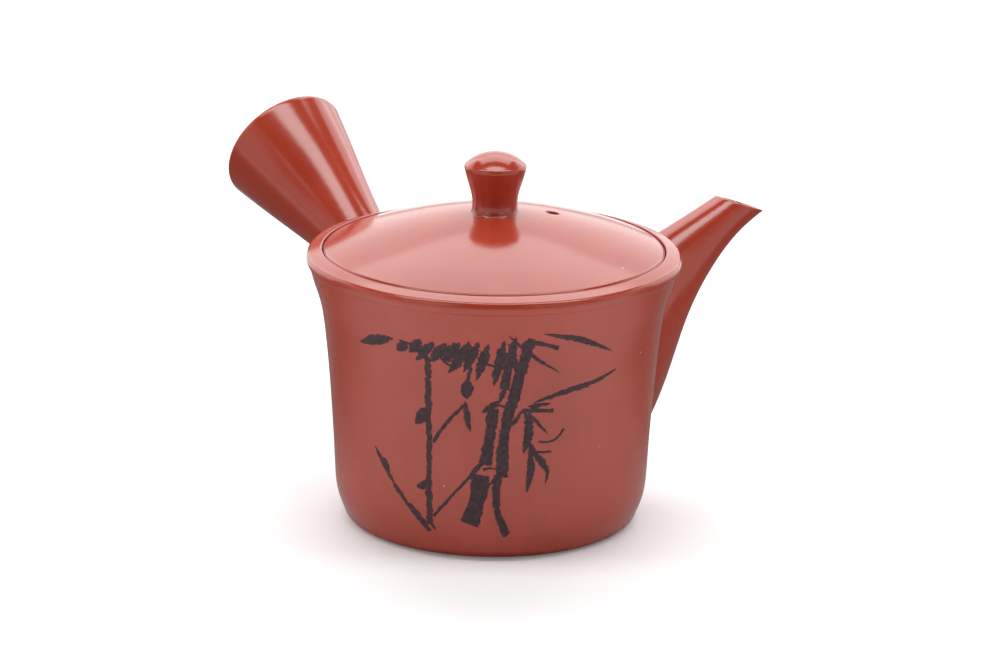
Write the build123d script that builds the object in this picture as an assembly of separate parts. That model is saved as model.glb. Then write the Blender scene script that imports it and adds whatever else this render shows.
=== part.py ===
from build123d import *
from math import asin, cos, radians, sin
import os

# Side-handled clay teapot, in mm. The origin is the centre of the flat base, +Z up,
# +X along the spout, +Y along the handle. Outlines are (distance from axis, height).

# Thrown body
base_radius = 36.6
floor_height = 3.2
crease = (49.1, 69.6)
rim_radius = 50.0
rim_height = 72.0
crown = (46.1, 74.15)
seat_radius = 45.8
ledge_height = 71.5
mouth_radius = 41.4

# Lid
lid_apex = 84.45
lid_under = 81.65
lid_radius = 45.42
lid_seat = 71.6
flange_radius = 40.9
flange_inner = 38.5
flange_bottom = 66.0
vent_bore = 3.25
vent_reach = 16.2
vent_angle = -18.5

# Knob and the ring of slip that joins it to the lid
knob_radius = 8.38
knob_edge = 96.8
knob_top = 100.5
knob_bed = 83.0
slip_ring_radius = 7.6

# Handle: a hollow flared cone about an axis tilted up in the Y-Z plane
handle_tilt = 26.2
handle_axis_height = 27.8
handle_end = 116.5
handle_start = 40.0

# Spout: stations as (top x, top z, under x, under z, half width, wall), and its slanted mouth
spout_stations = [
    (36.0, 64.0, 35.0, 4.0, 18.0, 2.3),
    (43.5, 65.6, 42.3, 11.0, 15.8, 2.3),
    (51.7, 68.4, 51.1, 23.3, 12.2, 2.2),
    (61.8, 72.3, 59.3, 41.4, 9.0, 2.0),
    (73.8, 77.1, 71.5, 59.2, 6.6, 1.7),
    (80.5, 79.9, 80.3, 66.9, 5.6, 1.5),
    (87.6, 82.8, 91.6, 73.1, 5.2, 1.3),
]
mouth_x = 82.2
mouth_z = 74.9
mouth_slant = 20.8

# Strainer dome over the round port behind the spout
port_radius = 11.0
strainer_x = 48.8
strainer_z = 38.0
strainer_radius = 17.0
strainer_sheet = 1.5
strainer_hole = 1.7
strainer_rings = 4
strainer_ring_step = 10.0

# Slip fillets in the corners at the handle and spout roots; the spout's stays a hair clear of both
handle_fillet = 3.0
spout_fillet = 2.5
slip_clearance = 0.02

# Carved bamboo filled with dark pigment, centred on the wall a quarter turn and more from both members.
# Strokes are (kind, width, way), the way in mm along the wall to the right and mm above the base.
carving_facing = -125.0
carving_radius = 45.0
carving_layer = 0.12
leaf_swell = 0.45
carving = [
    ("leaf", 3.6, [(-27.5, 59.5), (-34.0, 58.0), (-39.5, 55.5)]),
    ("leaf", 2.8, [(-23.0, 59.5), (-26.5, 57.0)]),
    ("leaf", 3.0, [(-19.0, 61.0), (-22.5, 57.0)]),
    ("leaf", 2.8, [(-15.5, 61.0), (-20.5, 55.0)]),
    ("leaf", 2.8, [(-12.0, 61.0), (-16.5, 55.0)]),
    ("leaf", 3.4, [(-8.5, 61.5), (-13.0, 55.5)]),
    ("leaf", 2.8, [(-6.0, 62.0), (-8.5, 57.0), (-11.5, 52.5)]),
    ("leaf", 2.6, [(-3.5, 62.0), (-7.5, 53.0)]),
    ("leaf", 2.6, [(-1.0, 61.5), (-4.0, 51.0)]),
    ("leaf", 2.6, [(3.0, 62.5), (0.5, 49.5)]),
    ("stem", 0.5, [(-25.5, 60.0), (-23.0, 59.5), (-21.0, 58.5), (-17.5, 55.5)]),
    ("stem", 0.5, [(-15.5, 59.5), (-14.0, 57.0), (-11.0, 54.5)]),
    ("stem", 0.5, [(-9.0, 60.0), (-7.5, 56.5), (-6.5, 55.5)]),
    ("stem", 0.5, [(-6.0, 61.0), (-4.0, 57.5), (-2.0, 56.0), (0.5, 55.0)]),
    ("culm", 1.5, [(-17.5, 56.5), (-17.0, 51.5), (-17.0, 46.0), (-16.5, 33.0), (-16.5, 24.0), (-16.0, 9.5)]),
    ("leaf", 3.4, [(-16.5, 42.0), (-20.5, 37.0)]),
    ("leaf", 2.4, [(-16.0, 21.0), (-20.0, 19.5)]),
    ("culm", 0.9, [(-15.5, 32.5), (-12.5, 37.5), (-7.0, 44.0)]),
    ("culm", 0.9, [(-5.5, 54.5), (-6.5, 50.0)]),
    ("leaf", 3.4, [(-6.5, 51.0), (-6.5, 45.5)]),
    ("leaf", 1.6, [(-7.0, 45.0), (-6.5, 41.5), (-5.5, 36.5)]),
    ("leaf", 1.2, [(-33.5, 28.0), (-26.5, 18.5)]),
    ("leaf", 1.4, [(-30.5, 25.5), (-28.5, 22.5)]),
    ("culm", 1.0, [(-27.0, 19.0), (-22.5, 14.0), (-16.0, 7.5)]),
    ("leaf", 1.8, [(-22.0, 14.5), (-18.5, 10.5), (-16.0, 7.5)]),
    ("leaf", 0.8, [(-16.0, 10.5), (-14.5, 8.0)]),
    ("stem", 0.7, [(-15.0, 12.0), (-9.5, 19.0), (-4.0, 25.5)]),
    ("leaf", 1.2, [(-5.5, 24.5), (-1.5, 28.5)]),
    ("stem", 0.5, [(-2.0, 26.0), (0.0, 26.5), (2.5, 25.5)]),
    ("culm", 2.8, [(0.5, 43.0), (0.0, 39.0), (-0.5, 34.0), (-1.5, 27.5)]),
    ("culm", 4.4, [(-2.5, 24.5), (-3.5, 17.0), (-5.5, 10.5)]),
    ("culm", 2.8, [(4.5, 59.0), (4.5, 54.0), (3.5, 48.5)]),
    ("leaf", 1.8, [(6.0, 63.5), (5.0, 56.5)]),
    ("leaf", 1.4, [(3.5, 49.0), (2.0, 45.0)]),
    ("leaf", 1.8, [(4.0, 61.5), (8.0, 49.5)]),
    ("culm", 2.8, [(9.5, 62.0), (8.5, 57.5), (7.5, 53.0)]),
    ("culm", 2.8, [(7.0, 53.0), (6.0, 47.5), (4.5, 42.0), (3.5, 37.0), (3.0, 31.5), (3.0, 24.0)]),
    ("culm", 1.9, [(2.0, 24.5), (1.5, 17.5), (2.5, 12.0), (4.5, 7.5)]),
    ("leaf", 1.2, [(3.5, 26.5), (-0.5, 21.5)]),
    ("leaf", 1.8, [(2.5, 45.5), (-2.5, 42.0)]),
    ("stem", 0.5, [(0.0, 44.0), (2.0, 44.0), (4.0, 43.5)]),
    ("leaf", 0.9, [(4.0, 64.0), (9.0, 59.0), (18.0, 52.5)]),
    ("culm", 1.2, [(9.0, 62.5), (17.5, 59.5)]),
    ("leaf", 1.6, [(13.5, 64.0), (21.5, 62.0), (34.5, 56.0)]),
    ("leaf", 1.4, [(11.0, 44.5), (20.0, 47.0), (29.0, 48.5), (36.0, 50.5)]),
    ("leaf", 1.2, [(9.5, 43.5), (15.5, 44.0)]),
    ("culm", 1.0, [(8.0, 42.5), (16.5, 42.0)]),
    ("leaf", 1.2, [(8.0, 42.5), (5.5, 39.0), (2.0, 37.0)]),
    ("leaf", 2.4, [(8.5, 42.5), (9.8, 38.5), (9.5, 34.5), (8.5, 30.5)]),
    ("leaf", 0.8, [(9.5, 42.0), (15.0, 35.5)]),
    ("stem", 0.5, [(12.5, 33.5), (16.5, 33.5), (19.5, 36.5)]),
    ("stem", 0.5, [(10.5, 31.0), (13.5, 30.5), (16.0, 30.5)]),
    ("leaf", 2.0, [(10.0, 32.0), (10.5, 26.0), (9.5, 19.5)]),
    ("leaf", 1.6, [(9.5, 34.5), (12.5, 29.0), (15.0, 25.0), (14.5, 21.5)]),
]
box_size = 300.0


def turned(edges):
    """Solid turned about Z from the edges of a closed outline in the X-Z plane."""
    return revolve(Plane.XZ * make_face(edges), Axis.Z)


def wall_curve():
    """Outer wall from the foot to the crease under the rim band."""
    rising = [(39.6, 2.6), (41.2, 7.0), (42.0, 14.0), (43.1, 32.0), (44.9, 52.0), (46.8, 62.0), (48.1, 65.8)]
    return Spline(*rising, crease)


def body_outside(grow=0.0):
    """Solid inside the outer surface, closed across the rim, and wider all round by grow."""
    outline = [
        ThreePointArc((base_radius, 0), (38.7, 0.8), (39.6, 2.6)),
        wall_curve(),
        ThreePointArc(crease, (49.65, 70.6), (rim_radius, rim_height)),
        ThreePointArc((rim_radius, rim_height), (49.8, 72.7), (49.1, 73.1)),
        Line((49.1, 73.1), crown),
    ]
    return turned([
        Line((0, 0), (base_radius + grow, 0)),
        *[Pos(grow, 0, 0) * edge for edge in outline],
        Line((crown[0] + grow, crown[1]), (0, crown[1])),
        Line((0, crown[1]), (0, 0)),
    ])


def cavity():
    """Space inside the thrown body, up to the lid's ledge."""
    return turned([
        Line((0, floor_height), (30.8, floor_height)),
        ThreePointArc((30.8, floor_height), (37.1, 5.8), (39.4, 12.0)),
        Spline((39.4, 12.0), (40.5, 32.0), (42.3, 52.0), (43.5, 61.5), (42.9, 66.3), (mouth_radius, 70.0)),
        Line((mouth_radius, 70.0), (mouth_radius, ledge_height)),
        Line((mouth_radius, ledge_height), (0, ledge_height)),
        Line((0, ledge_height), (0, floor_height)),
    ])


def pot_body():
    """Thrown body with the lid's recessed ledge and the port behind the spout."""
    seat_depth = crown[1] + 1 - ledge_height
    upward = (Align.CENTER, Align.CENTER, Align.MIN)
    seat = Pos(0, 0, ledge_height) * Cylinder(seat_radius, seat_depth, align=upward)
    sideways = Pos(strainer_x - strainer_radius / 2, 0, strainer_z) * Rot(0, 90, 0)
    port = sideways * Cylinder(port_radius, strainer_radius)
    return body_outside() - cavity() - seat - port


def handle_outside():
    """Outer cone of the handle, as a solid reaching into the wall."""
    flare = [(8.5, 50.0), (8.1, 58.0), (10.3, 79.0), (12.54, 90.0), (15.55, 103.3), (18.1, 115.3)]
    cone = turned([
        Line((0, handle_start), (10.4, handle_start)),
        Spline((10.4, handle_start), *flare),
        ThreePointArc((18.1, 115.3), (18.05, 116.1), (17.3, handle_end)),
        Line((17.3, handle_end), (0, handle_end)),
        Line((0, handle_end), (0, handle_start)),
    ])
    return along_handle(cone)


def handle_bore():
    """Hollow of the handle, open at its end."""
    flare = [(5.8, 50.0), (5.5, 58.0), (7.7, 79.0), (9.9, 90.0), (12.95, 103.3), (15.4, 114.6)]
    hollow = turned([
        Line((0, handle_start), (7.0, handle_start)),
        Spline((7.0, handle_start), *flare),
        ThreePointArc((15.4, 114.6), (15.8, 115.9), (16.7, handle_end)),
        Line((16.7, handle_end), (16.7, handle_end + 1)),
        Line((16.7, handle_end + 1), (0, handle_end + 1)),
        Line((0, handle_end + 1), (0, handle_start)),
    ])
    return along_handle(hollow)


def along_handle(solid):
    """Place a solid turned about Z on the handle's tilted axis."""
    tilt = radians(handle_tilt)
    axis = Plane(origin=(0, 0, handle_axis_height), x_dir=(1, 0, 0), z_dir=(0, cos(tilt), sin(tilt)))
    return axis * solid


def spout_loft(grow=0.0, walls=0):
    """Loft through the oval stations, wider all round by grow, or that many wall thicknesses inside."""
    ovals = []
    for top_x, top_z, under_x, under_z, half_width, wall in spout_stations:
        inset = walls * wall - grow
        top = Vector(top_x, 0, top_z)
        under = Vector(under_x, 0, under_z)
        across = top - under
        station = Plane(origin=(top + under) / 2, x_dir=across, z_dir=across.cross(Vector(0, -1, 0)))
        ovals.append(station * Ellipse(across.length / 2 - inset, half_width - inset))
    return loft(ovals)


def above_mouth():
    """Everything beyond the slanted cut of the spout's mouth."""
    slant = radians(mouth_slant)
    down_lip = (cos(slant), 0, -sin(slant))
    cut = Plane(origin=(mouth_x, 0, mouth_z), x_dir=down_lip, z_dir=(sin(slant), 0, cos(slant)))
    return cut * Box(box_size, box_size, box_size, align=(Align.CENTER, Align.CENTER, Align.MIN))


def spout_outside(grow=0.0):
    """Outer form of the spout, cut at its mouth, and wider all round by grow."""
    return spout_loft(grow) - above_mouth()


def strainer():
    """Domed strainer with rings of drilled holes, trimmed to the inner wall."""
    centre = Vector(strainer_x, 0, strainer_z)
    dome = Sphere(strainer_radius) - Sphere(strainer_radius - strainer_sheet)
    dome = (Pos(centre) * dome) & cavity()
    drills = []
    for ring in range(strainer_rings + 1):
        count = max(1, 6 * ring)
        lean = radians(ring * strainer_ring_step)
        for place in range(count):
            turn = radians(360 / count * place)
            aim = Vector(-cos(lean), sin(lean) * cos(turn), sin(lean) * sin(turn))
            spot = Plane(origin=centre + aim * strainer_radius, z_dir=aim)
            drills.append(spot * Cylinder(strainer_hole / 2, 4 * strainer_sheet))
    return dome - drills


def lid_blank():
    """Domed lid with its locating flange, before the vent is bored."""
    dome = [(0, lid_apex), (14.0, 83.2), (30.0, 79.4), (39.0, 76.5), (45.0, 74.22)]
    under = [(flange_inner, 73.6), (30.0, 76.4), (14.0, 80.4), (0, lid_under)]
    return turned([
        Spline(*dome, tangents=((1, 0), (0.93, -0.37))),
        ThreePointArc((45.0, 74.22), (45.34, 74.04), (lid_radius, 73.7)),
        Line((lid_radius, 73.7), (lid_radius, lid_seat)),
        Line((lid_radius, lid_seat), (flange_radius, lid_seat)),
        Line((flange_radius, lid_seat), (flange_radius, flange_bottom + 0.6)),
        Line((flange_radius, flange_bottom + 0.6), (flange_radius - 0.6, flange_bottom)),
        Line((flange_radius - 0.6, flange_bottom), (flange_inner, flange_bottom)),
        Line((flange_inner, flange_bottom), (flange_inner, 73.6)),
        Spline(*under, tangents=((-0.93, 0.37), (-1, 0))),
        Line((0, lid_under), (0, lid_apex)),
    ])


def lid():
    """Lid with its steam vent."""
    turn = radians(vent_angle)
    vent = Pos(vent_reach * cos(turn), vent_reach * sin(turn), lid_under) * Cylinder(vent_bore / 2, 20)
    return lid_blank() - vent


def knob():
    """Turned knob, wider at its edge than at its waist, sitting on the dome."""
    rise = knob_top - knob_edge
    cap_radius = (knob_radius**2 + rise**2) / (2 * rise)
    half_turn = asin(knob_radius / cap_radius) / 2
    cap_mid = (cap_radius * sin(half_turn), knob_top - cap_radius * (1 - cos(half_turn)))
    blank = turned([
        Line((0, knob_bed), (6.25, knob_bed)),
        Spline((6.25, knob_bed), (6.05, 85.5), (6.63, 90.3), (7.83, 94.3), (knob_radius, knob_edge)),
        ThreePointArc((knob_radius, knob_edge), cap_mid, (0, knob_top)),
        Line((0, knob_top), (0, knob_bed)),
    ])
    return blank - lid_blank()


def knob_slip(knob_solid):
    """Concave ring of slip round the knob's foot."""
    ring = turned([
        Line((5.0, knob_bed), (slip_ring_radius, knob_bed)),
        Line((slip_ring_radius, knob_bed), (slip_ring_radius, 84.1)),
        ThreePointArc((slip_ring_radius, 84.1), (6.55, 84.55), (6.12, 85.8)),
        Line((6.12, 85.8), (5.0, 85.8)),
        Line((5.0, 85.8), (5.0, knob_bed)),
    ])
    return ring - lid_blank() - knob_solid


def root_slip(body, member, fillet_radius, cutters):
    """Filleted ring of slip in the corner between the wall and a member, freed by the cutters."""
    joined = body + member
    seam = joined.edges() - body.edges() - member.edges()
    ring = fillet(seam, fillet_radius)
    for cutter in cutters:
        ring -= cutter
    return max(ring.solids(), key=lambda piece: piece.volume)


def stroke_face(kind, width, way):
    """Flat outline of one carved stroke, tapered as a leaf or blunt as a culm or stem."""
    arcs = [Vector(carving_radius * sin(x / carving_radius), z) for x, z in way]
    left, right = [], []
    for place, point in enumerate(arcs):
        behind = arcs[max(place - 1, 0)]
        ahead = arcs[min(place + 1, len(arcs) - 1)]
        side = (ahead - behind).normalized().rotate(Axis.Z, 90) * width / 2
        if kind != "leaf" or 0 < place < len(arcs) - 1:
            left.append(point + side)
            right.append(point - side)
        else:
            left.append(point)
    if kind == "leaf" and len(arcs) == 2:
        side = (arcs[1] - arcs[0]).normalized().rotate(Axis.Z, 90) * width / 2
        swell = arcs[0] + (arcs[1] - arcs[0]) * leaf_swell
        left = [arcs[0], swell + side, arcs[1]]
        right = [swell - side]
    return make_face(Polyline(left + right[::-1], close=True))


def carving_fill():
    """Thin dark layer of the carved strokes, laid on the outer wall."""
    drawing = Sketch() + [stroke_face(*stroke) for stroke in carving]
    facing = radians(carving_facing)
    outward = Vector(cos(facing), sin(facing), 0)
    sheet = Plane(origin=outward, x_dir=(-sin(facing), cos(facing), 0), z_dir=outward)
    stamp = sheet * extrude(drawing, rim_radius)
    low, high = (39.6, 2.6), crease
    skin = turned([
        wall_curve(),
        Line(high, (high[0] + carving_layer, high[1])),
        Pos(carving_layer, 0, 0) * wall_curve(),
        Line((low[0] + carving_layer, low[1]), low),
    ])
    return stamp & skin


def build():
    """Write each piece to its own file."""
    os.makedirs("parts", exist_ok=True)
    body = body_outside()
    handle_solid = handle_outside()
    spout_solid = spout_outside()
    knob_solid = knob()
    spout_cutters = [body_outside(slip_clearance), spout_outside(slip_clearance)]
    pieces = {
        "pot_body": pot_body(),
        "handle": handle_solid - handle_bore() - body,
        "handle_slip": root_slip(body, handle_solid, handle_fillet, [body, handle_solid]),
        "spout": spout_solid - spout_loft(walls=1) - body,
        "spout_slip": root_slip(body, spout_solid, spout_fillet, spout_cutters),
        "strainer": strainer(),
        "carving_fill": carving_fill(),
        "lid": lid(),
        "knob": knob_solid,
        "knob_slip": knob_slip(knob_solid),
    }
    for name, solid in pieces.items():
        export_step(solid, f"parts/{name}.step")


build()
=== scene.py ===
import math

import bmesh
import bpy
import numpy as np
from mathutils import Matrix, Vector


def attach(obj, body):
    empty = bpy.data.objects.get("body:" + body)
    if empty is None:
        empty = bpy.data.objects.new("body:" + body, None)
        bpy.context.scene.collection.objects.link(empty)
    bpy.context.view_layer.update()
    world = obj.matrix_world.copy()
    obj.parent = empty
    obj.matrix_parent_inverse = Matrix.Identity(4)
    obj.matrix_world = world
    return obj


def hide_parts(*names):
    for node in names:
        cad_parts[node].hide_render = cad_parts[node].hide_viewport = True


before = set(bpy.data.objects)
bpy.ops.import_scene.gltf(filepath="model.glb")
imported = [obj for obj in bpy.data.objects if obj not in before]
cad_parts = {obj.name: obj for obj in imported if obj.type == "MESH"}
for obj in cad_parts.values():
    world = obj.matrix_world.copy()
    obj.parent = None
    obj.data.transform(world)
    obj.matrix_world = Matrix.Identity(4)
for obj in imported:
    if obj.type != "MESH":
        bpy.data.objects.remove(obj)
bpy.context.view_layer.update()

# Side-handled teapot in burnished red clay: +X along the spout, +Y along the handle.
# Dictionaries hold millimetres and degrees; meshes hold metres.
scene = bpy.context.scene
mm = 0.001


# Lines and meshes

def through(points, steps, start=None, end=None):
    # natural cubic through the points, spaced by chord; start and end are optional slopes
    p = np.array(points, float)
    h = np.maximum(np.linalg.norm(np.diff(p, axis=0), axis=1), 1e-9)
    t = np.concatenate([[0], np.cumsum(h)])
    n = len(p)
    a = np.zeros((n, n))
    b = np.zeros_like(p)
    a[0, 0] = a[-1, -1] = 1
    if start is not None:
        a[0, :2] = 2 * h[0], h[0]
        b[0] = 6 * ((p[1] - p[0]) / h[0] - np.array(start, float))
    if end is not None:
        a[-1, -2:] = h[-1], 2 * h[-1]
        b[-1] = 6 * (np.array(end, float) - (p[-1] - p[-2]) / h[-1])
    for i in range(1, n - 1):
        a[i, i - 1:i + 2] = h[i - 1], 2 * (h[i - 1] + h[i]), h[i]
        b[i] = 6 * ((p[i + 1] - p[i]) / h[i] - (p[i] - p[i - 1]) / h[i - 1])
    m = np.linalg.solve(a, b)
    out = []
    for q in np.linspace(0, t[-1], steps + 1):
        i = min(max(int(np.searchsorted(t, q) - 1), 0), n - 2)
        u, v = t[i + 1] - q, q - t[i]
        bend = (m[i] * u**3 + m[i + 1] * v**3) / (6 * h[i])
        line = (p[i] / h[i] - m[i] * h[i] / 6) * u + (p[i + 1] / h[i] - m[i + 1] * h[i] / 6) * v
        out.append(tuple(float(c) for c in bend + line))
    return out


def arc(a, b, bulge, steps=8):
    # round corner from a to b that swells to the right of the way, or to the left if bulge is negative
    a, b = Vector(a), Vector(b)
    way = b - a
    radius = (way.length**2 / 4 + bulge**2) / (2 * abs(bulge))
    half = math.asin(min(1, way.length / 2 / radius))
    way.normalize()
    side = Vector((way.y, -way.x)) * math.copysign(1, bulge)
    centre = (a + b) / 2 - side * (radius - abs(bulge))
    turns = [-half + 2 * half * k / steps for k in range(steps + 1)]
    return [tuple(centre + radius * (math.sin(w) * way + math.cos(w) * side)) for w in turns]


def joinRuns(*runs):
    line = []
    for q in [q for run in runs for q in run]:
        if not line or math.dist(q, line[-1]) > 1e-4:
            line.append(q)
    return line


def newPiece(name, verts, faces, material=None, edges=()):
    mesh = bpy.data.meshes.new(name)
    mesh.from_pydata([Vector(v) * mm for v in verts], list(edges), faces)
    if material:
        mesh.materials.append(material)
    return linked(name, mesh)


def linked(name, data):
    piece = bpy.data.objects.new(name, data)
    scene.collection.objects.link(piece)
    return piece


def outward(piece):
    # closed skin with its faces outwards and shaded smooth
    bm = bmesh.new()
    bm.from_mesh(piece.data)
    bmesh.ops.remove_doubles(bm, verts=bm.verts, dist=1e-7)
    bmesh.ops.recalc_face_normals(bm, faces=bm.faces)
    for face in bm.faces:
        face.smooth = True
    bm.to_mesh(piece.data)
    bm.free()
    return piece


def settled(source):
    # the evaluated shape as a plain mesh object of the same name
    name = source.name
    mesh = bpy.data.meshes.new_from_object(source.evaluated_get(bpy.context.evaluated_depsgraph_get()))
    source.modifiers.clear()
    source.name = name + "Source"
    bpy.data.objects.remove(source)
    return linked(name, mesh)


def cutWith(piece, cutter):
    cut = piece.modifiers.new("cut", "BOOLEAN")
    cut.solver = "EXACT"
    cut.object = outward(cutter)
    piece = settled(piece)
    bpy.data.objects.remove(cutter)
    return outward(piece)


def ride(piece, body, node):
    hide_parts(node)
    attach(piece, body)


# Node trees

def add(tree, kind, inputs=None, **settings):
    # a node with its settings made, and its inputs given a value or linked
    node = tree.nodes.new(kind)
    for label, value in settings.items():
        setattr(node, label, value)
    for label, value in (inputs or {}).items():
        if isinstance(value, bpy.types.NodeSocket):
            tree.links.new(value, node.inputs[label])
        else:
            node.inputs[label].default_value = value
    return node.outputs


def sums(tree, operation, *values):
    return add(tree, "ShaderNodeMath", dict(enumerate(values)), operation=operation)[0]


def newSocket(tree, label, side, socketKind):
    return tree.interface.new_socket(name=label, in_out=side, socket_type="NodeSocket" + socketKind)


def newTree(name, kind, inputs, outputs):
    # inputs are label: (socket kind, value or None)
    tree = bpy.data.node_groups.new(name, kind)
    for label, (socketKind, value) in inputs.items():
        socket = newSocket(tree, label, "INPUT", socketKind)
        if value is not None:
            socket.default_value = value
    for label, socketKind in outputs.items():
        newSocket(tree, label, "OUTPUT", socketKind)
    return tree, tree.nodes.new("NodeGroupInput").outputs, tree.nodes.new("NodeGroupOutput").inputs


def finishTree(tree, geometry, material, result):
    whole = add(tree, "GeometryNodeRealizeInstances", {"Geometry": geometry})[0]
    coloured = add(tree, "GeometryNodeSetMaterial", {"Geometry": whole, "Material": material})[0]
    tree.links.new(coloured, result["Geometry"])


def runTree(piece, tree, values):
    # modifier inputs go by socket identifier, before the piece is first evaluated
    modifier = piece.modifiers.new(tree.name, "NODES")
    modifier.node_group = tree
    for item in tree.interface.items_tree:
        if item.in_out == "INPUT" and item.name in values:
            modifier[item.identifier] = values[item.name]
    return outward(settled(piece))


wheel = {"wobbleScale": 35.0, "steadyReach": 0.01}


def turningTree():
    # turns an outline of points in the X-Z plane about the pot's axis, with a hand-made wobble
    # that fades out within steadyReach metres of the axis
    tree, given, result = newTree("turnOnWheel", "GeometryNodeTree", {
        "Outline": ("Geometry", None), "Rows": ("Int", 2), "Segments": ("Int", 256),
        "Wobble": ("Float", 0.0), "Seed": ("Float", 1.0), "Clay": ("Material", None),
    }, {"Geometry": "Geometry"})
    columns = sums(tree, "ADD", given["Segments"], 1.0)
    grid = add(tree, "GeometryNodeMeshGrid", {"Vertices X": columns, "Vertices Y": given["Rows"]})["Mesh"]
    index = add(tree, "GeometryNodeInputIndex")[0]
    column = sums(tree, "FLOOR", sums(tree, "DIVIDE", index, given["Rows"]))
    row = sums(tree, "SUBTRACT", index, sums(tree, "MULTIPLY", column, given["Rows"]))
    point = add(tree, "GeometryNodeSampleIndex", data_type="FLOAT_VECTOR")
    sampler = point[0].node
    tree.links.new(given["Outline"], sampler.inputs["Geometry"])
    tree.links.new(add(tree, "GeometryNodeInputPosition")[0], sampler.inputs["Value"])
    tree.links.new(row, sampler.inputs["Index"])
    reach, _, height = add(tree, "ShaderNodeSeparateXYZ", {"Vector": point[0]})
    turn = sums(tree, "MULTIPLY", sums(tree, "DIVIDE", column, given["Segments"]), 2 * math.pi)
    across, along = sums(tree, "COSINE", turn), sums(tree, "SINE", turn)

    def onCircle(radius):
        x = sums(tree, "MULTIPLY", radius, across)
        y = sums(tree, "MULTIPLY", radius, along)
        return add(tree, "ShaderNodeCombineXYZ", {"X": x, "Y": y, "Z": height})[0]

    noise = add(tree, "ShaderNodeTexNoise", {
        "Vector": onCircle(reach), "W": given["Seed"], "Scale": wheel["wobbleScale"], "Detail": 1.0,
    }, noise_dimensions="4D")["Fac"]
    away = add(tree, "ShaderNodeMath", {0: reach, 1: 1 / wheel["steadyReach"]},
               operation="MULTIPLY", use_clamp=True)[0]
    shake = sums(tree, "MULTIPLY", sums(tree, "SUBTRACT", noise, 0.5), given["Wobble"])
    shaken = sums(tree, "ADD", reach, sums(tree, "MULTIPLY", shake, away))
    skin = add(tree, "GeometryNodeSetPosition", {"Geometry": grid, "Position": onCircle(shaken)})[0]
    closed = add(tree, "GeometryNodeMergeByDistance", {"Geometry": skin, "Distance": 1e-6})[0]
    finishTree(tree, closed, given["Clay"], result)
    return tree


turnOnWheel = turningTree()


def turned(name, line, material, segments, wobble=0.0, seed=1.0):
    # line holds radius and height pairs in millimetres
    points = [(r, 0, z) for r, z in line]
    source = newPiece(name, points, [], None, [(k, k + 1) for k in range(len(points) - 1)])
    return runTree(source, turnOnWheel, {
        "Rows": len(points), "Segments": segments, "Wobble": wobble * mm, "Seed": seed, "Clay": material})


# Materials

grog = {"edge": 0.16, "core": 0.08, "bare": 0.988, "colour": (0.62, 0.42, 0.34, 1)}
noiseSpan = (0.3, 0.7)
grainDepth = 0.0002


def clayGrainGroup():
    # burnished grain, slow drift of tone, and sparse pale specks of grog
    group, given, result = newTree("clayGrain", "ShaderNodeTree", {
        "Grain Scale": ("Float", 2600.0), "Drift Scale": ("Float", 60.0), "Speck Scale": ("Float", 420.0)},
        {"Grain": "Float", "Drift": "Float", "Speck": "Float"})
    place = add(group, "ShaderNodeTexCoord")["Object"]
    grain = add(group, "ShaderNodeTexNoise", {
        "Vector": place, "Scale": given["Grain Scale"], "Detail": 3.0})
    drift = add(group, "ShaderNodeTexNoise", {
        "Vector": place, "Scale": given["Drift Scale"], "Detail": 4.0})
    cells = add(group, "ShaderNodeTexVoronoi", {"Vector": place, "Scale": given["Speck Scale"]})
    near = add(group, "ShaderNodeMapRange", {
        "Value": cells["Distance"], "From Min": grog["edge"], "From Max": grog["core"]})["Result"]
    chance = add(group, "ShaderNodeSeparateColor", {"Color": cells["Color"]})[0]
    chosen = sums(group, "GREATER_THAN", chance, grog["bare"])
    group.links.new(grain["Fac"], result["Grain"])
    group.links.new(drift["Fac"], result["Drift"])
    group.links.new(sums(group, "MULTIPLY", near, chosen), result["Speck"])
    return group


rib = {"swayScale": 30.0, "lean": 0.7, "depth": 0.0004}


def toolLinesGroup():
    # faint rings about the pot's axis, left by the rib
    group, given, result = newTree("toolLines", "ShaderNodeTree", {
        "Ring Scale": ("Float", 700.0), "Waver": ("Float", 0.002), "Place": ("Vector", None),
    }, {"Height": "Float"})
    x, y, z = add(group, "ShaderNodeSeparateXYZ", {"Vector": given["Place"]})
    squared = sums(group, "ADD", sums(group, "MULTIPLY", x, x), sums(group, "MULTIPLY", y, y))
    reach = sums(group, "SQRT", squared)
    sway = add(group, "ShaderNodeTexNoise", {"Vector": given["Place"], "Scale": rib["swayScale"]})["Fac"]
    along = sums(group, "ADD", z, sums(group, "MULTIPLY", reach, rib["lean"]))
    wavering = sums(group, "ADD", along, sums(group, "MULTIPLY", sway, given["Waver"]))
    rings = add(group, "ShaderNodeTexNoise", {
        "W": wavering, "Scale": given["Ring Scale"], "Detail": 3.0}, noise_dimensions="1D")["Fac"]
    group.links.new(rings, result["Height"])
    return group


clayGrain = clayGrainGroup()
toolLines = toolLinesGroup()

clayLooks = {
    "burnished": {"deep": (0.39, 0.040, 0.017), "bright": (0.44, 0.049, 0.022), "rough": (0.12, 0.19),
                  "ior": 1.60, "grain": 0.02, "lines": 0.03, "lineScale": 700.0},
    "raw": {"deep": (0.25, 0.050, 0.030), "bright": (0.36, 0.085, 0.050), "rough": (0.55, 0.70),
            "ior": 1.45, "grain": 0.25, "lines": 0.20, "lineScale": 500.0},
    "slip": {"deep": (0.34, 0.036, 0.017), "bright": (0.41, 0.046, 0.022), "rough": (0.10, 0.15),
             "ior": 1.60, "grain": 0.02, "lines": 0.0, "lineScale": 400.0},
}
darkLook = {"deep": (0.034, 0.013, 0.016), "bright": (0.062, 0.027, 0.034), "rough": (0.45, 0.75),
            "ior": 1.45, "grain": 0.4, "driftScale": 900.0, "toneSpan": (0.35, 0.65)}


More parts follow.
